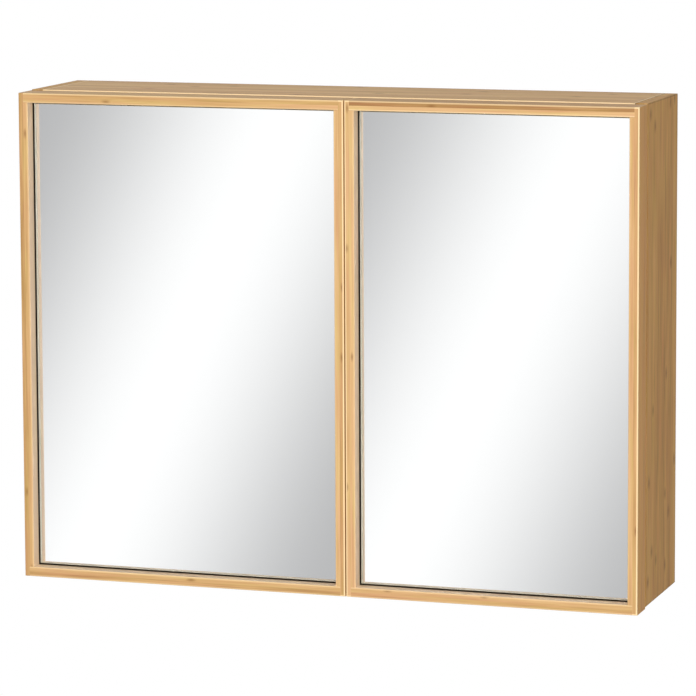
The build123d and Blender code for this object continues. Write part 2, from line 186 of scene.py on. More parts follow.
bamboo = {
    "shades": ((0.08, "AA7638"), (0.5, "E2B87C"), (0.9, "FADFAA")),  # dark, usual and pale culm wood
    "pink": "ECB085",
    "straw": "DCC076",
    "knot": "74471C",
    "glueLine": "A36F36",
    "endGrain": "C09660",
    # painted highlight on the eased arrises and on the left side panel's seam
    "arris": "FFE0AC",
    # painted shade on the arrises by the wall, on the side panels' other arrises and along the right side
    # panel's seam
    "seam": "4E3314",
    "sideShade": "FFEAB2",             # painted shade: a deeper tint on the outer sides of a door, which face away from the light
    "meeting": "F3E2C4",           # painted shade, the same on the sides of the two stiles that meet, in the gap between the doors
    "recessLight": "FFE9D0",            # painted light, on the sides of a door's recess
    "gapShade": "2A1D0C",             # painted shade, on wood behind the plane of the glass
    # how much of each change goes into the colour
    "stripChange": 0.3,
    "drift": 0.9,
    "fibre": 0.7,
    "tintShare": 0.6,
    "hueRange": (0.15, 0.55),      # noise values that are pink and straw
    "hueWarmth": 0.3,              # how far warmth moves them
    "endGrainShare": 0.5,
    "recessShare": 0.55,
    "glueShare": 0.35,
    "knotShare": 0.75,
    # random numbers
    "boardSteps": (7.7, 0.37),     # from one board to the next, for its strips and for its knots
    "cellSpot": 0.3,               # where in a cell they are read
    # knots
    "knotStagger": 7.3,            # lengths by which strips may be set off from each other
    "knotAlong": (0.2, 0.8),       # where a knot may lie in its length of the strip
    "knotAcross": (0.3, 0.7),      # and in the strip's width
    "knotSwell": (2.6, 0.3),       # knot sizes from its middle where fibres begin to part, and part most
    "knotParting": 0.45,           # by so many knot widths
    "knotEdge": (1.9, 0.6),        # knot sizes from its middle where its brown begins, and is full
    "knotRagged": 1.4,             # how much the fibres fray that edge
    # mm
    "keptOff": 0.01,               # keeps a board's own faces off the borders between strips
    "stripShift": (900, 90, 90),   # how far apart at most two strips read the noise
    "driftLong": 170,
    "fibreLong": 55, "fibreWide": 1.4,
    "hueLong": 90, "hueWide": 5,
    "hueShift": (31, 17, 5),       # in cells, to part the hue from the drift
    "glueWide": (0.6, 0.1),        # from a joint, where its line begins and is full
    "arrisWide": (2.0, 2.0 / 1.7),  # from an edge, where the painted light and shade of an arris begin and are full
    "arrisDeep": 3.0,              # the painted highlights on a door are on the arrises this close to its front
    "seamWide": (1.6, 1.1),        # from a seam, the same
    "wallShade": (4.0, 1.0),       # from the wall, where painted shade darkens the arrises
    "flankFrom": 12.5,             # outwards from the edge of the glass
    "recessWide": 2.6,             # the same
    "gapShadeAhead": 0.6,             # where the painted shade begins in front of the glass
    "gapShadeBehind": 2.5,            # where it ends behind it
    # surface
    "roughness": 0.55,
    "roughChange": 0.2,
    "relief": 0.0002,              # metres
}


# Noise cells of a length along the grain and a width across it
def cellsOf(long, wide):
    return 1 / long, 1 / wide, 1 / wide


# Laminated bamboo, planed and lacquered: straight strips that differ a little in colour, fine fibres along
# them, a few brown knots and thin glue lines, all under a satin sheen. In numbers, a shade from dark to pale
# is picked by t = 0.5 + tone + contrast (stripChange (random - 0.5) + drift (slow noise - 0.5)
# + fibre (fine noise - 0.5)), and knots, glue lines and end grain are then mixed over it, with painted
# highlight and shade on the arrises, painted shade on a door's sides and round its glass, and painted light
# in its recess.
def bambooMaterial(name, nodeName, board, seed):
    material, tree = newMaterial(name)
    cut = cuts[board["cut"]]
    low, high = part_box(nodeName)
    order = ["xyz".index(letter) for letter in board["axes"]]
    onDoor = nodeName.startswith(("left_", "right_")) and board["cut"] in ("frame", "ply")
    place = addNode(tree, "ShaderNodeTexCoord")
    parts = addNode(tree, "ShaderNodeSeparateXYZ", {0: place.outputs["Object"]})
    faces = addNode(tree, "ShaderNodeSeparateXYZ", {0: place.outputs["Normal"]})
    laid = addNode(tree, "ShaderNodeCombineXYZ", {i: parts.outputs[order[i]] for i in range(3)})
    mm = addNode(tree, "ShaderNodeMapping", {
        "Vector": laid, "Scale": (1000, 1000, 1000),
        "Location": [-1000 * low[i] + bamboo["keptOff"] for i in order]})
    units = addNode(tree, "ShaderNodeVectorMath", {0: mm, 1: (cut["knotEvery"], cut["strip"], cut["ply"])},
                    operation="DIVIDE")
    # strips and plies: random numbers for each, its own on every board
    cell = addNode(tree, "ShaderNodeVectorMath", {0: units, 1: (0, 1, 1)}, operation="MULTIPLY")
    cell = addNode(tree, "ShaderNodeVectorMath", {0: cell}, operation="FLOOR")
    stripStep, knotStep = bamboo["boardSteps"]
    inCell = bamboo["cellSpot"]
    cell = addNode(tree, "ShaderNodeVectorMath", {0: cell, 1: (seed * stripStep + inCell, inCell, inCell)},
                   operation="ADD")
    chance = addNode(tree, "ShaderNodeTexWhiteNoise", {"Vector": cell}, noise_dimensions="3D")
    chances = addNode(tree, "ShaderNodeSeparateColor", {0: chance.outputs["Color"]})
    within = addNode(tree, "ShaderNodeVectorMath", {0: units}, operation="FRACTION")
    withinParts = addNode(tree, "ShaderNodeSeparateXYZ", {0: within})
    # knots: an ellipse along the grain, at a random place in some of each strip's lengths
    run = addNode(tree, "ShaderNodeSeparateXYZ", {0: units})
    run = addNode(tree, "ShaderNodeMath",
                  {0: chances.outputs[0], 1: bamboo["knotStagger"], 2: run.outputs[0]},
                  operation="MULTIPLY_ADD")
    length = addNode(tree, "ShaderNodeMath", {0: run}, operation="FLOOR")
    knotCell = addNode(tree, "ShaderNodeCombineXYZ",
                       {0: length, 1: chance.outputs["Value"], 2: seed * knotStep})
    knotChance = addNode(tree, "ShaderNodeTexWhiteNoise", {"Vector": knotCell}, noise_dimensions="3D")
    knotChances = addNode(tree, "ShaderNodeSeparateColor", {0: knotChance.outputs["Color"]})
    runWithin = addNode(tree, "ShaderNodeMath", {0: run}, operation="FRACT")
    # how far a point lies from the knot's middle along and across the grain, in knot sizes
    offsets = []
    for number, (first, last), spot, sizes in (
            (0, bamboo["knotAlong"], runWithin.outputs[0], cut["knotEvery"] / cut["knotLong"]),
            (1, bamboo["knotAcross"], withinParts.outputs[1], cut["strip"] / cut["knotWide"])):
        offset = addNode(tree, "ShaderNodeMath", {0: knotChances.outputs[number], 1: first - last, 2: -first},
                         operation="MULTIPLY_ADD")
        offset = addNode(tree, "ShaderNodeMath", {0: offset, 1: spot}, operation="ADD")
        offsets.append(addNode(tree, "ShaderNodeMath", {0: offset, 1: sizes}, operation="MULTIPLY"))
    knotPlace = addNode(tree, "ShaderNodeCombineXYZ", {0: offsets[0], 1: offsets[1], 2: 0.0})
    knotFar = addNode(tree, "ShaderNodeVectorMath", {0: knotPlace}, operation="LENGTH")
    some = addNode(tree, "ShaderNodeMath", {0: knotChances.outputs[2], 1: cut["knots"]},
                   operation="LESS_THAN")
    swell = addNode(tree, "ShaderNodeMapRange", {
        "Value": knotFar.outputs["Value"], "From Min": bamboo["knotSwell"][0],
        "From Max": bamboo["knotSwell"][1]}, interpolation_type="SMOOTHSTEP")
    swell = addNode(tree, "ShaderNodeMath", {0: swell, 1: some}, operation="MULTIPLY")
    # the grain: each strip reads its own stretch of the noise, and its fibres part round a knot
    shift = addNode(tree, "ShaderNodeVectorMath", {0: chance.outputs["Color"], 1: bamboo["stripShift"]},
                    operation="MULTIPLY")
    own = addNode(tree, "ShaderNodeVectorMath", {0: mm, 1: shift}, operation="ADD")
    part = addNode(tree, "ShaderNodeMath", {0: swell, 1: offsets[1]}, operation="MULTIPLY")
    part = addNode(tree, "ShaderNodeMath", {0: part, 1: -bamboo["knotParting"] * cut["knotWide"]},
                   operation="MULTIPLY")
    part = addNode(tree, "ShaderNodeCombineXYZ", {1: part})
    own = addNode(tree, "ShaderNodeVectorMath", {0: own, 1: part}, operation="ADD")
    slow = addNode(tree, "ShaderNodeVectorMath", {0: own, 1: cellsOf(bamboo["driftLong"], cut["streak"])},
                   operation="MULTIPLY")
    drift = addNode(tree, "ShaderNodeTexNoise",
                    {"Vector": slow, "Scale": 1.0, "Detail": 3.0, "Roughness": 0.55})
    fine = addNode(tree, "ShaderNodeVectorMath",
                   {0: own, 1: cellsOf(bamboo["fibreLong"], bamboo["fibreWide"])}, operation="MULTIPLY")
    fibre = addNode(tree, "ShaderNodeTexNoise",
                    {"Vector": fine, "Scale": 1.0, "Detail": 4.0, "Roughness": 0.6})
    # shade
    parted, drifted, fibred = (bamboo[key] * cut["contrast"] for key in ("stripChange", "drift", "fibre"))
    usual = 0.5 + board["tone"] - (parted + drifted + fibred) / 2
    tone = addNode(tree, "ShaderNodeMath", {0: chance.outputs["Value"], 1: parted, 2: usual},
                   operation="MULTIPLY_ADD")
    if board.get("pair"):
        lower, higher = board["pair"]
        which = addNode(tree, "ShaderNodeSeparateXYZ", {0: units})
        which = addNode(tree, "ShaderNodeMath", {0: which.outputs[1], 1: 1.0}, operation="GREATER_THAN")
        which = addNode(tree, "ShaderNodeMapRange", {"Value": which, "To Min": lower, "To Max": higher})
        tone = addNode(tree, "ShaderNodeMath", {0: tone, 1: which}, operation="ADD")
    for noise, change in ((drift, drifted), (fibre, fibred)):
        tone = addNode(tree, "ShaderNodeMath", {0: noise, 1: change, 2: tone}, operation="MULTIPLY_ADD")
    ramp = addNode(tree, "ShaderNodeValToRGB", {0: tone})
    ramp.color_ramp.elements.new(0.5)
    for stop, (spot, shade) in zip(ramp.color_ramp.elements, bamboo["shades"]):
        stop.position = spot
        stop.color = linear(shade)
    # hue, from pink to straw, and the tint of the lacquer
    hue = addNode(tree, "ShaderNodeVectorMath", {
        0: own, 1: cellsOf(bamboo["hueLong"], bamboo["hueWide"]), 2: bamboo["hueShift"]},
        operation="MULTIPLY_ADD")
    hue = addNode(tree, "ShaderNodeTexNoise", {"Vector": hue, "Scale": 1.0, "Detail": 2.0})
    pinkest, strawest = (value + bamboo["hueWarmth"] * board["warmth"] for value in bamboo["hueRange"])
    hue = addNode(tree, "ShaderNodeMapRange", {"Value": hue, "From Min": pinkest, "From Max": strawest})
    tint = addNode(tree, "ShaderNodeMix", {0: hue, 6: linear(bamboo["pink"]), 7: linear(bamboo["straw"])},
                   data_type="RGBA")
    tint = addNode(tree, "ShaderNodeMix", {0: 1.0, 6: ramp, 7: tint.outputs[2]}, data_type="RGBA",
                   blend_type="COLOR")
    colour = addNode(tree, "ShaderNodeMix", {0: bamboo["tintShare"], 6: ramp, 7: tint.outputs[2]},
                     data_type="RGBA")
    colour = addNode(tree, "ShaderNodeMix", {0: 1.0, 6: colour.outputs[2], 7: linear(cut["lacquer"])},
                     data_type="RGBA", blend_type="MULTIPLY")
    # the brown of the knots
    ragged = addNode(tree, "ShaderNodeMath",
                     {0: fibre.outputs[0], 1: bamboo["knotRagged"], 2: knotFar.outputs["Value"]},
                     operation="MULTIPLY_ADD")
    knot = addNode(tree, "ShaderNodeMapRange", {
        "Value": ragged, "From Min": bamboo["knotEdge"][0], "From Max": bamboo["knotEdge"][1],
        "To Max": bamboo["knotShare"]})
    knot = addNode(tree, "ShaderNodeMath", {0: knot, 1: some}, operation="MULTIPLY")
    colour = addNode(tree, "ShaderNodeMix", {0: knot, 6: colour.outputs[2], 7: linear(bamboo["knot"])},
                     data_type="RGBA")
    # glue lines between strips and between plies, by the mm from the nearest joint
    middle = addNode(tree, "ShaderNodeVectorMath", {0: within, 1: (0.5, 0.5, 0.5)}, operation="SUBTRACT")
    middle = addNode(tree, "ShaderNodeVectorMath", {0: middle}, operation="ABSOLUTE")
    middle = addNode(tree, "ShaderNodeVectorMath", {
        0: middle, 1: (-1.0, -cut["strip"], -cut["ply"]), 2: (0.5, cut["strip"] / 2, cut["ply"] / 2)},
        operation="MULTIPLY_ADD")
    joint = addNode(tree, "ShaderNodeSeparateXYZ", {0: middle})
    joint = addNode(tree, "ShaderNodeMath", {0: joint.outputs[1], 1: joint.outputs[2]}, operation="MINIMUM")
    joint = addNode(tree, "ShaderNodeMapRange", {
        "Value": joint, "From Min": bamboo["glueWide"][0], "From Max": bamboo["glueWide"][1],
        "To Max": bamboo["glueShare"]})
    colour = addNode(tree, "ShaderNodeMix", {0: joint, 6: colour.outputs[2], 7: linear(bamboo["glueLine"])},
                     data_type="RGBA")
    # end grain: cut fibres, on faces square to the grain
    ends = addNode(tree, "ShaderNodeMath", {0: faces.outputs[order[0]]}, operation="ABSOLUTE")
    ends = addNode(tree, "ShaderNodeMapRange", {
        "Value": ends, "From Min": 0.75, "From Max": 0.9, "To Max": bamboo["endGrainShare"]})
    colour = addNode(tree, "ShaderNodeMix", {0: ends, 6: colour.outputs[2], 7: linear(bamboo["endGrain"])},
                     data_type="RGBA")
    # painted highlight and shade on the eased arrises, where the middle one of the distances to the board's
    # faces is small
    centre, half = (low + high) / 2, (high - low) / 2
    gaps = addNode(tree, "ShaderNodeVectorMath", {0: place.outputs["Object"], 1: centre},
                   operation="SUBTRACT")
    gaps = addNode(tree, "ShaderNodeVectorMath", {0: gaps}, operation="ABSOLUTE")
    gaps = addNode(tree, "ShaderNodeVectorMath", {0: half, 1: gaps}, operation="SUBTRACT")
    if board.get("butted"):
        gaps = addNode(tree, "ShaderNodeVectorMath", {0: gaps, 1: [float(i == order[0]) for i in range(3)]},
                       operation="ADD")
    gaps = addNode(tree, "ShaderNodeSeparateXYZ", {0: gaps})
    nearer = addNode(tree, "ShaderNodeMath", {0: gaps.outputs[0], 1: gaps.outputs[1]}, operation="MINIMUM")
    farther = addNode(tree, "ShaderNodeMath", {0: gaps.outputs[0], 1: gaps.outputs[1]}, operation="MAXIMUM")
    second = addNode(tree, "ShaderNodeMath", {0: farther, 1: gaps.outputs[2]}, operation="MINIMUM")
    second = addNode(tree, "ShaderNodeMath", {0: nearer, 1: second}, operation="MAXIMUM")
    arris = addNode(tree, "ShaderNodeMapRange", {
        "Value": second, "From Min": bamboo["arrisWide"][0] / 1000,
        "From Max": bamboo["arrisWide"][1] / 1000})
    letter, atLow, atHigh = board.get("arris", ("y", 0.4, 0.4))
    axis = "xyz".index(letter)
    beyond = addNode(tree, "ShaderNodeMath", {0: parts.outputs[axis], 1: centre[axis]},
                     operation="GREATER_THAN")
    share = addNode(tree, "ShaderNodeMapRange", {"Value": beyond, "To Min": atLow, "To Max": atHigh})
    # painted highlight on an arris where the light catches it, and painted shade on it by the wall
    dark = addNode(tree, "ShaderNodeMapRange", {
        "Value": parts.outputs[1], "From Min": -bamboo["wallShade"][0] / 1000,
        "From Max": -bamboo["wallShade"][1] / 1000})
    # painted shade on a side panel's arrises and on the right panel's seam, painted highlight on the left
    # panel's seam
    if board.get("seam"):  # a side panel's arrises are in shade, and so is its seam on the right
        inner = high[0] if board["seam"] == "high" else low[0]
        seam = addNode(tree, "ShaderNodeMath", {0: parts.outputs[0], 1: inner}, operation="SUBTRACT")
        seam = addNode(tree, "ShaderNodeMath", {0: seam}, operation="ABSOLUTE")
        seam = addNode(tree, "ShaderNodeMapRange", {
            "Value": seam, "From Min": bamboo["seamWide"][0] / 1000,
            "From Max": bamboo["seamWide"][1] / 1000})
        share = addNode(tree, "ShaderNodeMath", {0: share, 1: seam}, operation="MAXIMUM")
        dark = 1.0
        if board["seam"] == "high":  # the left panel's seam faces the lamp
            dark = addNode(tree, "ShaderNodeMath", {0: 1.0, 1: seam}, operation="SUBTRACT")
    trim = addNode(tree, "ShaderNodeMix", {0: dark, 6: linear(bamboo["arris"]), 7: linear(bamboo["seam"])},
                   data_type="RGBA")
    arris = addNode(tree, "ShaderNodeMath", {0: arris, 1: share}, operation="MULTIPLY")
    if onDoor:
        # painted shade on the outer sides of a door, and painted highlight only on the arrises at its front
        glassLow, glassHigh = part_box(nodeName.split("_")[0] + "_mirror_glass")
        off = addNode(tree, "ShaderNodeVectorMath",
                      {0: place.outputs["Object"], 1: (glassLow + glassHigh) / 2}, operation="SUBTRACT")
        off = addNode(tree, "ShaderNodeVectorMath", {0: off}, operation="ABSOLUTE")
        off = addNode(tree, "ShaderNodeVectorMath", {0: off, 1: (glassHigh - glassLow) / 2},
                      operation="SUBTRACT")
        off = addNode(tree, "ShaderNodeSeparateXYZ", {0: off})
        off = addNode(tree, "ShaderNodeMath", {0: off.outputs[0], 1: off.outputs[2]}, operation="MAXIMUM")
        outer = addNode(tree, "ShaderNodeMath", {0: off, 1: bamboo["flankFrom"] / 1000},
                        operation="GREATER_THAN")
        sideShade = addNode(tree, "ShaderNodeMath", {0: faces.outputs[0]}, operation="ABSOLUTE")
        sideShade = addNode(tree, "ShaderNodeMath", {0: sideShade, 1: outer}, operation="MULTIPLY")
        sideShadeTint = linear(bamboo["meeting" if "meeting" in nodeName else "sideShade"])
        colour = addNode(tree, "ShaderNodeMix", {0: sideShade, 6: colour.outputs[2], 7: sideShadeTint},
                         data_type="RGBA", blend_type="MULTIPLY")
        inFront = addNode(tree, "ShaderNodeMath",
                          {0: parts.outputs[1], 1: low[1] + bamboo["arrisDeep"] / 1000},
                          operation="LESS_THAN")
        arris = addNode(tree, "ShaderNodeMath", {0: arris, 1: inFront}, operation="MULTIPLY")
    colour = addNode(tree, "ShaderNodeMix", {0: arris, 6: colour.outputs[2], 7: trim.outputs[2]},
                     data_type="RGBA")
    if onDoor:
        # painted light on the sides of the recess, which are paler; painted shade behind the plane of the
        # glass, where the wood is dark
        inside = addNode(tree, "ShaderNodeMath", {0: off, 1: bamboo["recessWide"] / 1000},
                         operation="LESS_THAN")
        wall = addNode(tree, "ShaderNodeMath", {0: faces.outputs[1]}, operation="ABSOLUTE")
        wall = addNode(tree, "ShaderNodeMapRange", {
            "Value": wall, "From Min": 0.6, "From Max": 0.3, "To Max": bamboo["recessShare"]})
        wall = addNode(tree, "ShaderNodeMath", {0: wall, 1: inside}, operation="MULTIPLY")
        colour = addNode(tree, "ShaderNodeMix", {0: wall, 6: colour.outputs[2], 7: linear(bamboo["recessLight"])},
                         data_type="RGBA")
        deep = addNode(tree, "ShaderNodeMapRange", {
            "Value": parts.outputs[1], "From Min": glassLow[1] - bamboo["gapShadeAhead"] / 1000,
            "From Max": glassLow[1]})
        ahead = addNode(tree, "ShaderNodeMath",
                        {0: parts.outputs[1], 1: glassHigh[1] + bamboo["gapShadeBehind"] / 1000},
                        operation="LESS_THAN")
        deep = addNode(tree, "ShaderNodeMath", {0: deep, 1: inside}, operation="MULTIPLY")
        deep = addNode(tree, "ShaderNodeMath", {0: deep, 1: ahead}, operation="MULTIPLY")
        colour = addNode(tree, "ShaderNodeMix", {0: deep, 6: colour.outputs[2], 7: linear(bamboo["gapShade"])},
                         data_type="RGBA")
    # surface: fibres stand up a little and glue lines lie low
    height = addNode(tree, "ShaderNodeMath", {0: fibre, 1: joint}, operation="SUBTRACT")
    bump = addNode(tree, "ShaderNodeBump", {"Height": height, "Strength": 0.25, "Distance": bamboo["relief"]})
    rough = addNode(tree, "ShaderNodeMath", {
        0: fibre.outputs[0], 1: bamboo["roughChange"], 2: bamboo["roughness"] - bamboo["roughChange"] / 2},
        operation="MULTIPLY_ADD")
    shader = addNode(tree, "ShaderNodeBsdfPrincipled", {
        "Base Color": colour.outputs[2], "Roughness": rough, "Normal": bump, "IOR": 1.5,
        "Specular IOR Level": cut["gloss"]})
    addNode(tree, "ShaderNodeOutputMaterial", {"Surface": shader})
    return material


for number, (nodeName, board) in enumerate(boards.items()):
    wear(nodeName, bambooMaterial("lacquered_bamboo_" + nodeName, nodeName, board, number + 1))
print("bamboo done:", len(boards), "boards")


# Mirror

mirror = {
    "silver": "FCFDFD",
    "edge": "EDE7D2",      # ground glass seen edge on; its warm cream is a painted reflection of the wood
    "flatFrom": 0.95,      # share of a normal along y from which a face is front or back
}


# Silvered float glass: clear glass in front, a mirror on its back face, so that its edges show as a second,
# paler image beside that of the frame. The sides are ground, and their colour holds a painted reflection of
# the wood.
def mirrorMaterial():
    material, tree = newMaterial("silvered_float_glass")
    place = addNode(tree, "ShaderNodeTexCoord")
    flat = addNode(tree, "ShaderNodeSeparateXYZ", {0: place.outputs["Normal"]})
    flat = addNode(tree, "ShaderNodeMath", {0: flat.outputs[1]}, operation="ABSOLUTE")
    flat = addNode(tree, "ShaderNodeMath", {0: flat, 1: mirror["flatFrom"]}, operation="GREATER_THAN")
    # seen through the glass the back's normal turns round, so the faces are told apart by their places
    low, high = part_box("left_mirror_glass")
    rear = addNode(tree, "ShaderNodeSeparateXYZ", {0: place.outputs["Object"]})
    rear = addNode(tree, "ShaderNodeMath", {0: rear.outputs[1], 1: (low[1] + high[1]) / 2},
                   operation="GREATER_THAN")
    front = addNode(tree, "ShaderNodeMath", {0: flat, 1: rear}, operation="SUBTRACT")
    front = addNode(tree, "ShaderNodeMath", {0: front, 1: 0.5}, operation="GREATER_THAN")
    back = addNode(tree, "ShaderNodeMath", {0: rear, 1: flat}, operation="MULTIPLY")
    silver = addNode(tree, "ShaderNodeBsdfPrincipled", {
        "Base Color": linear(mirror["silver"]), "Metallic": 1.0, "Roughness": 0.0})
    clear = addNode(tree, "ShaderNodeBsdfPrincipled", {
        "Base Color": (1, 1, 1, 1), "Transmission Weight": 1.0, "Roughness": 0.0, "IOR": 1.5})
    ground = addNode(tree, "ShaderNodeBsdfPrincipled", {
        "Base Color": linear(mirror["edge"]), "Roughness": 0.35})
    sides = addNode(tree, "ShaderNodeMixShader", {0: back, 1: ground, 2: silver})
    shader = addNode(tree, "ShaderNodeMixShader", {0: front, 1: sides, 2: clear})
    addNode(tree, "ShaderNodeOutputMaterial", {"Surface": shader})
    return material


silvered = mirrorMaterial()
for side in ("left", "right"):
    wear(side + "_mirror_glass", silvered)
print("mirrors done")


# Fittings

fittings = {  # grain is the size of a cloud in mm
    # bright and a little warm, with softer patches drawn out the way that the sheet was pressed
    "nickel_plated_pressed_steel": {
        "nodes": ["left_hinge_cups", "right_hinge_cups", "left_hinge_arms", "right_hinge_arms",
                  "left_hinge_plates", "right_hinge_plates"],
        "colour": "C9C4B8", "other": "A79F90", "metallic": 1.0, "rough": (0.22, 0.38),
        "grain": (14.0, 3.0, 3.0), "bump": 0.08},
    # cold and smooth, with faint rings from the wheel
    "ground_steel_pin": {
        "nodes": ["left_hinge_pins", "right_hinge_pins"],
        "colour": "C4C5C6", "other": "9A9B9C", "metallic": 1.0, "rough": (0.15, 0.3),
        "grain": (1.0, 1.0, 0.3), "bump": 0.03},
    # a cool shine with dull yellowish clouds
    "zinc_plated_turned_steel": {
        "nodes": ["left_plate_screws", "right_plate_screws", "left_arm_screws", "right_arm_screws",
                  "left_cup_screws", "right_cup_screws", "shelf_pins"],
        "colour": "CDD2D6", "other": "A9A68F", "metallic": 1.0, "rough": (0.24, 0.45),
        "grain": (2.5, 2.5, 2.5), "bump": 0.05},
    # matt and reddish, with short fibres along the dowel
    "turned_beech": {
        "nodes": ["carcass_dowels"],
        "colour": "D9AE7E", "other": "B9824F", "metallic": 0.0, "rough": (0.55, 0.7), "ior": 1.45,
        "grain": (9.0, 0.6, 0.9), "bump": 0.3},
    # off-white and without shine, with fine pores
    "closed_cell_foam_tape": {
        "nodes": ["left_mirror_tape", "right_mirror_tape"],
        "colour": "E4E2DA", "other": "BDB9AC", "metallic": 0.0, "rough": (0.8, 0.95), "ior": 1.45,
        "grain": (0.5, 0.5, 0.5), "bump": 0.5},
    # milky and even, with a soft gloss
    "moulded_clear_silicone": {
        "nodes": ["left_bumper_pads", "right_bumper_pads"],
        "colour": "E9ECE8", "other": "D5DAD4", "metallic": 0.0, "rough": (0.2, 0.34), "ior": 1.45,
        "grain": (3.0, 3.0, 3.0), "bump": 0.06},
}
fitted = {  # metres
    "relief": 0.0002,
    "tapeBack": 0.0001,  # the tape stops this short of the glass, so that no ray meets both at once
}


# A surface whose colour and polish drift between two states; the grain says how far the drift is drawn out
def fittingMaterial(name, fitting):
    material, tree = newMaterial(name)
    place = addNode(tree, "ShaderNodeTexCoord")
    spot = addNode(tree, "ShaderNodeVectorMath",
                   {0: place.outputs["Object"], 1: [1000 / size for size in fitting["grain"]]},
                   operation="MULTIPLY")
    cloud = addNode(tree, "ShaderNodeTexNoise",
                    {"Vector": spot, "Scale": 1.0, "Detail": 5.0, "Roughness": 0.6})
    share = addNode(tree, "ShaderNodeMapRange",
                    {"Value": cloud.outputs[0], "From Min": 0.35, "From Max": 0.75})
    colour = addNode(tree, "ShaderNodeMix",
                     {0: share, 6: linear(fitting["colour"]), 7: linear(fitting["other"])}, data_type="RGBA")
    rough = addNode(tree, "ShaderNodeMapRange", {
        "Value": cloud.outputs[0], "From Min": 0.3, "From Max": 0.7,
        "To Min": fitting["rough"][0], "To Max": fitting["rough"][1]})
    bump = addNode(tree, "ShaderNodeBump", {
        "Height": cloud.outputs[0], "Strength": fitting["bump"], "Distance": fitted["relief"]})
    shader = addNode(tree, "ShaderNodeBsdfPrincipled", {
        "Base Color": colour.outputs[2], "Roughness": rough, "Metallic": fitting["metallic"], "Normal": bump})
    if "ior" in fitting:  # a metal keeps the shader's own
        shader.inputs["IOR"].default_value = fitting["ior"]
    addNode(tree, "ShaderNodeOutputMaterial", {"Surface": shader})
    return material


for name, fitting in fittings.items():
    fittingSurface = fittingMaterial(name, fitting)
    for nodeName in fitting["nodes"]:
        wear(nodeName, fittingSurface)
for side in ("left", "right"):
    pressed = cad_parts[side + "_mirror_tape"].modifiers.new("pressed", "DISPLACE")
    pressed.strength = -fitted["tapeBack"]
    pressed.mid_level = 0.0
print("fittings done")


# Screws: a pan head with a cross recess, on a plain shank

screws = {  # mm
    "head": 3.2, "headTall": 1.5, "chamfer": 0.1,        # radius, height, bevel under the head
    "rim": 0.55, "rimRound": 0.3, "rimDrop": 0.25,       # height at its side, its rounding in and down
    "recessDeep": 1.0, "armWide": 0.95, "armReach": 1.75, "wallSlope": 0.16,
    "shank": 1.5, "tip": 1.6,                            # radius, where the cone begins
    "tipMiddle": 0.5, "tipShare": 0.55, "point": 0.15,   # a bend in the cone, and its last radius
    "around": 64, "rings": 15, "innermost": 0.04,        # points, rings on the top, share of the first one
    "sharpFrom": 35,                                     # degrees
}


# One screw of a length, head up, the top of its CAD head at z = 0; returns points in metres and faces.
# The top is z = -(tall - rim) (r/R)^2 - deep * ramp((w/2 - min(|x|,|y|)) / slope)
# * ramp((reach - max(|x|,|y|)) / slope), and the rest is a profile turned about z.
def screwSurface(length):
    turn = np.linspace(0, 2 * np.pi, screws["around"], endpoint=False)
    flat = screws["head"] - screws["rimRound"]
    radii = flat * np.linspace(screws["innermost"], 1.0, screws["rings"])
    x, y = np.outer(radii, np.cos(turn)), np.outer(radii, np.sin(turn))
    nearer, farther = np.minimum(abs(x), abs(y)), np.maximum(abs(x), abs(y))
    across = np.clip((screws["armWide"] / 2 - nearer) / screws["wallSlope"], 0, 1)
    ends = np.clip((screws["armReach"] - farther) / screws["wallSlope"], 0, 1)
    drop = (screws["headTall"] - screws["rim"]) * (x ** 2 + y ** 2) / screws["head"] ** 2
    z = -drop - screws["recessDeep"] * across * ends
    profile = np.array([
        (screws["head"], z[-1, 0] - screws["rimDrop"]),
        (screws["head"], screws["chamfer"] - screws["headTall"]),
        (screws["head"] - screws["chamfer"], -screws["headTall"]),
        (screws["shank"], -screws["headTall"]),
        (screws["shank"], screws["tip"] - length),
        (screws["shank"] * screws["tipShare"], screws["tipMiddle"] - length),
        (screws["point"], -length)])
    radius, depth = profile[:, :1], np.repeat(profile[:, 1:], screws["around"], axis=1)
    turned = np.stack([radius * np.cos(turn), radius * np.sin(turn), depth], axis=2)
    points = np.concatenate([np.stack([x, y, z], axis=2), turned])
    corner = np.arange(points.shape[0] * points.shape[1]).reshape(points.shape[:2])
    onward = np.roll(corner, -1, axis=1)
    quads = np.stack([corner[:-1], corner[1:], onward[1:], onward[:-1]], axis=2).reshape(-1, 4)
    faces = quads.tolist() + [corner[0].tolist(), corner[-1, ::-1].tolist()]
    return points.reshape(-1, 3) / 1000, faces


# The separate solids of a CAD node, as arrays of points
def solidsOf(nodeName):
    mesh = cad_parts[nodeName].data
    points = np.empty(len(mesh.vertices) * 3)
    mesh.vertices.foreach_get("co", points)
    points = points.reshape(-1, 3)
    # vertices at the same place count as one, and a group's number spreads along the edges
    _, same = np.unique(np.round(points, 6), axis=0, return_inverse=True)
    same = same.reshape(-1)
    ends = np.empty(len(mesh.edges) * 2, dtype=int)
    mesh.edges.foreach_get("vertices", ends)
    ends = same[ends].reshape(-1, 2)
    group = np.arange(same.max() + 1)
    while True:
        least = np.minimum(group[ends[:, 0]], group[ends[:, 1]])
        before = group.copy()
        np.minimum.at(group, ends[:, 0], least)
        np.minimum.at(group, ends[:, 1], least)
        if (before == group).all():
            break
    group = group[same]
    return [points[group == number] for number in np.unique(group)]


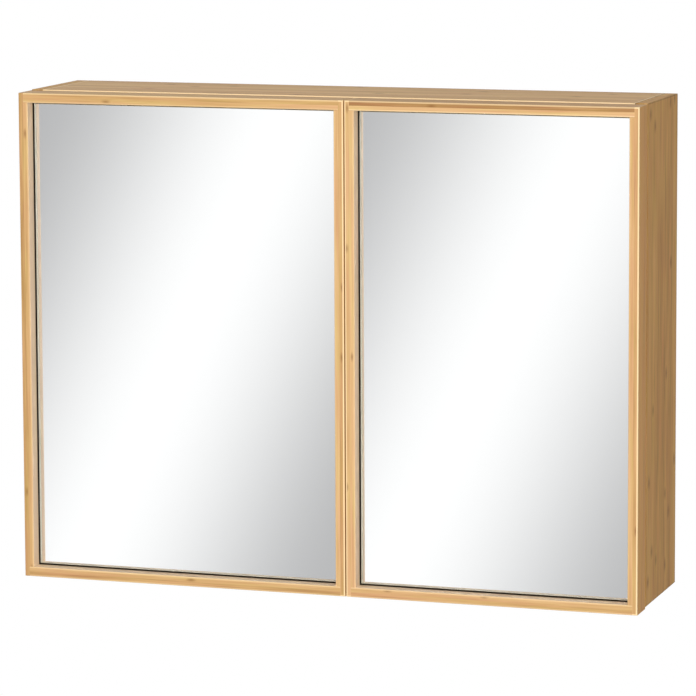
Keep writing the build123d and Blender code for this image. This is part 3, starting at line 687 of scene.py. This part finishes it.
# Puts a recessed screw in the place of each of a node's plain ones. Each lies along its longest side, x or y,
# and its head is at the end where the points are farthest from its axis.
def makeScrews(nodeName, body):
    points, faces = [], []
    for solid in solidsOf(nodeName):
        low, high = solid.min(axis=0), solid.max(axis=0)
        middle = (low + high) / 2
        axis = int(np.argmax(high - low))
        fromAxis = np.linalg.norm(np.delete(solid - middle, axis, axis=1), axis=1)
        onHead = solid[fromAxis > 0.9 * screws["head"] / 1000]
        sign = 1 if onHead[:, axis].mean() > middle[axis] else -1
        shape, corners = screwSurface((high - low)[axis] * 1000)
        up = np.zeros(3)
        up[axis] = sign
        level = np.array([0.0, 0.0, 1.0])
        aside = np.cross(up, level)
        top = middle.copy()
        top[axis] = high[axis] if sign > 0 else low[axis]
        placed = np.outer(shape[:, 0], level) + np.outer(shape[:, 1], aside) + np.outer(shape[:, 2], up)
        start = sum(len(part) for part in points)
        points.append(placed + top)
        faces += [tuple(start + i for i in face) for face in corners]
    mesh = bpy.data.meshes.new(nodeName + "_recessed")
    mesh.from_pydata(np.concatenate(points).tolist(), [], faces)
    mesh.shade_smooth()
    mesh.set_sharp_from_angle(angle=math.radians(screws["sharpFrom"]))
    mesh.materials.append(bpy.data.materials["zinc_plated_turned_steel"])
    thing = addObject(nodeName + "_recessed", mesh)
    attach(thing, body)
    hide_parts(nodeName)


for side in ("left", "right"):
    makeScrews(side + "_plate_screws", "cabinet")
    makeScrews(side + "_arm_screws", "cabinet")
    makeScrews(side + "_cup_screws", side + "_door")
print("screws done")


# Studio: world, lamps and the card that the mirrors show

studio = {
    "fill": 0.25,        # world light on the object
    # lamps: azimuth from the front towards the right, elevation, metres away, metres across, and the level
    # that each gives a white surface square to it
    "lamps": {
        "key": {"azimuth": 15, "elevation": 12, "away": 8.5, "across": 3.6, "level": 0.94},
        "rearFill": {"azimuth": 232, "elevation": 14, "away": 7.0, "across": 4.0, "level": 0.38},
    },
    "aim": (0.0, -0.1, -0.25),
    # the card, in metres; all but the first are as it shows on the plane of the mirrors
    "cardAhead": 3.0,
    "cardCorners": ((-0.8, -0.95), (0.8, -0.95), (0.8, 0.45), (-0.8, 0.45)),
    "cardWave": 0.30,            # from white to grey
    "cardTurn": 0.02,            # to both sides of the doors' meeting, where one door's band gives way
    "cardMiddle": -0.25,         # height of its middle
    "cardBorder": (0.45, 0.75),  # to the sides of it, where grey goes back to white
    "cardShort": 0.1,            # how much nearer the same is above and below it
    "cardLean": 25.5,            # degrees of the bands from upright
    "cardGrey": "B9B9BA",
    "cardLevel": 1.04,
}


# White wherever the camera, a reflection or glass shows it, and dimmer as light on the object
def makeWorld():
    world = bpy.data.worlds.new("studio")
    bpy.context.scene.world = world
    world.use_nodes = True
    tree = world.node_tree
    tree.nodes.clear()
    path = addNode(tree, "ShaderNodeLightPath")
    seen = path.outputs["Is Camera Ray"]
    for ray in ("Is Glossy Ray", "Is Transmission Ray"):
        seen = addNode(tree, "ShaderNodeMath", {0: seen, 1: path.outputs[ray]}, operation="MAXIMUM")
    strength = addNode(tree, "ShaderNodeMapRange", {"Value": seen, "To Min": studio["fill"], "To Max": 1.0})
    back = addNode(tree, "ShaderNodeBackground", {"Color": (1, 1, 1, 1), "Strength": strength})
    addNode(tree, "ShaderNodeOutputWorld", {"Surface": back})


# A disc lamp of power P at distance d gives a level of P / (pi d)^2
def makeLamp(name, lamp):
    azimuth, elevation = math.radians(lamp["azimuth"]), math.radians(lamp["elevation"])
    out = Vector((math.sin(azimuth) * math.cos(elevation), -math.cos(azimuth) * math.cos(elevation),
                  math.sin(elevation)))
    data = bpy.data.lights.new(name, "AREA")
    data.shape = "DISK"
    data.size = lamp["across"]
    data.energy = lamp["level"] * (math.pi * lamp["away"]) ** 2
    thing = addObject(name, data)
    thing.location = Vector(studio["aim"]) + out * lamp["away"]
    thing.rotation_mode = "QUATERNION"
    thing.rotation_quaternion = (-out).to_track_quat("-Z", "Y")
    thing.visible_camera = False


# A card in front of the cabinet, seen in the mirrors alone: white along a slanting band in front of each
# door, greyer to both sides of it, and white again at the card's border. With c the camera's mirror image,
# a card point p lies over the mirror point m = c + (p - c) k, and a smooth step over cardWave from the
# band's middle goes from white to grey.
def makeCard():
    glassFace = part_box("left_mirror_glass")[0][1]
    seenFrom = Vector((camera["place"][0], 2 * glassFace - camera["place"][1], camera["place"][2]))
    ahead = studio["cardAhead"]
    reach = (seenFrom[1] - glassFace) / (seenFrom[1] - glassFace + ahead)
    corners = []
    for x, z in studio["cardCorners"]:
        corners.append((seenFrom[0] + (x - seenFrom[0]) / reach, glassFace - ahead,
                        seenFrom[2] + (z - seenFrom[2]) / reach))
    mesh = bpy.data.meshes.new("mirror_card")
    mesh.from_pydata(corners, [], [(0, 1, 2, 3)])
    card = addObject("mirror_card", mesh)
    card.visible_camera = card.visible_diffuse = card.visible_shadow = False
    material, tree = newMaterial("studio_card")
    place = addNode(tree, "ShaderNodeTexCoord")
    onMirror = addNode(tree, "ShaderNodeVectorMath", {0: place.outputs["Object"], 1: seenFrom},
                       operation="SUBTRACT")
    onMirror = addNode(tree, "ShaderNodeVectorMath", {0: onMirror, "Scale": reach}, operation="SCALE")
    onMirror = addNode(tree, "ShaderNodeVectorMath", {0: onMirror, 1: seenFrom}, operation="ADD")
    onMirror = addNode(tree, "ShaderNodeSeparateXYZ", {0: onMirror})
    # the bands: across is the distance from the middle of a door's band, square to it
    middles = [sum(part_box(side + "_mirror_glass"), Vector()) / 2 for side in ("left", "right")]
    between = (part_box("left_mirror_glass")[1][0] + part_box("right_mirror_glass")[0][0]) / 2
    door = addNode(tree, "ShaderNodeMapRange", {
        "Value": onMirror.outputs[0],
        "From Min": between - studio["cardTurn"], "From Max": between + studio["cardTurn"],
        "To Min": middles[0][0], "To Max": middles[1][0]}, interpolation_type="SMOOTHSTEP")
    lean = math.radians(studio["cardLean"])
    across = addNode(tree, "ShaderNodeMath", {0: onMirror.outputs[0], 1: door}, operation="SUBTRACT")
    across = addNode(tree, "ShaderNodeMath",
                     {0: across, 1: math.cos(lean), 2: middles[0][2] * math.sin(lean)},
                     operation="MULTIPLY_ADD")
    across = addNode(tree, "ShaderNodeMath", {0: onMirror.outputs[2], 1: -math.sin(lean), 2: across},
                     operation="MULTIPLY_ADD")
    across = addNode(tree, "ShaderNodeMath", {0: across}, operation="ABSOLUTE")
    white = addNode(tree, "ShaderNodeMapRange",
                    {"Value": across, "From Min": studio["cardWave"], "From Max": 0.0},
                    interpolation_type="SMOOTHSTEP")
    # the border
    wide = addNode(tree, "ShaderNodeMath", {0: onMirror.outputs[0]}, operation="ABSOLUTE")
    tall = addNode(tree, "ShaderNodeMath", {0: onMirror.outputs[2], 1: studio["cardMiddle"]},
                   operation="SUBTRACT")
    tall = addNode(tree, "ShaderNodeMath", {0: tall}, operation="ABSOLUTE")
    tall = addNode(tree, "ShaderNodeMath", {0: tall, 1: studio["cardShort"]}, operation="ADD")
    border = addNode(tree, "ShaderNodeMath", {0: wide, 1: tall}, operation="MAXIMUM")
    border = addNode(tree, "ShaderNodeMapRange", {
        "Value": border, "From Min": studio["cardBorder"][0], "From Max": studio["cardBorder"][1]},
        interpolation_type="SMOOTHSTEP")
    white = addNode(tree, "ShaderNodeMath", {0: white, 1: border}, operation="MAXIMUM")
    colour = addNode(tree, "ShaderNodeMix", {0: white, 6: linear(studio["cardGrey"]), 7: (1, 1, 1, 1)},
                     data_type="RGBA")
    glow = addNode(tree, "ShaderNodeEmission", {"Color": colour.outputs[2], "Strength": studio["cardLevel"]})
    addNode(tree, "ShaderNodeOutputMaterial", {"Surface": glow})
    mesh.materials.append(material)


makeWorld()
makeCard()
for name, lamp in studio["lamps"].items():
    makeLamp(name, lamp)


bpy.context.scene.view_settings.view_transform = "Standard"
print("studio ready")
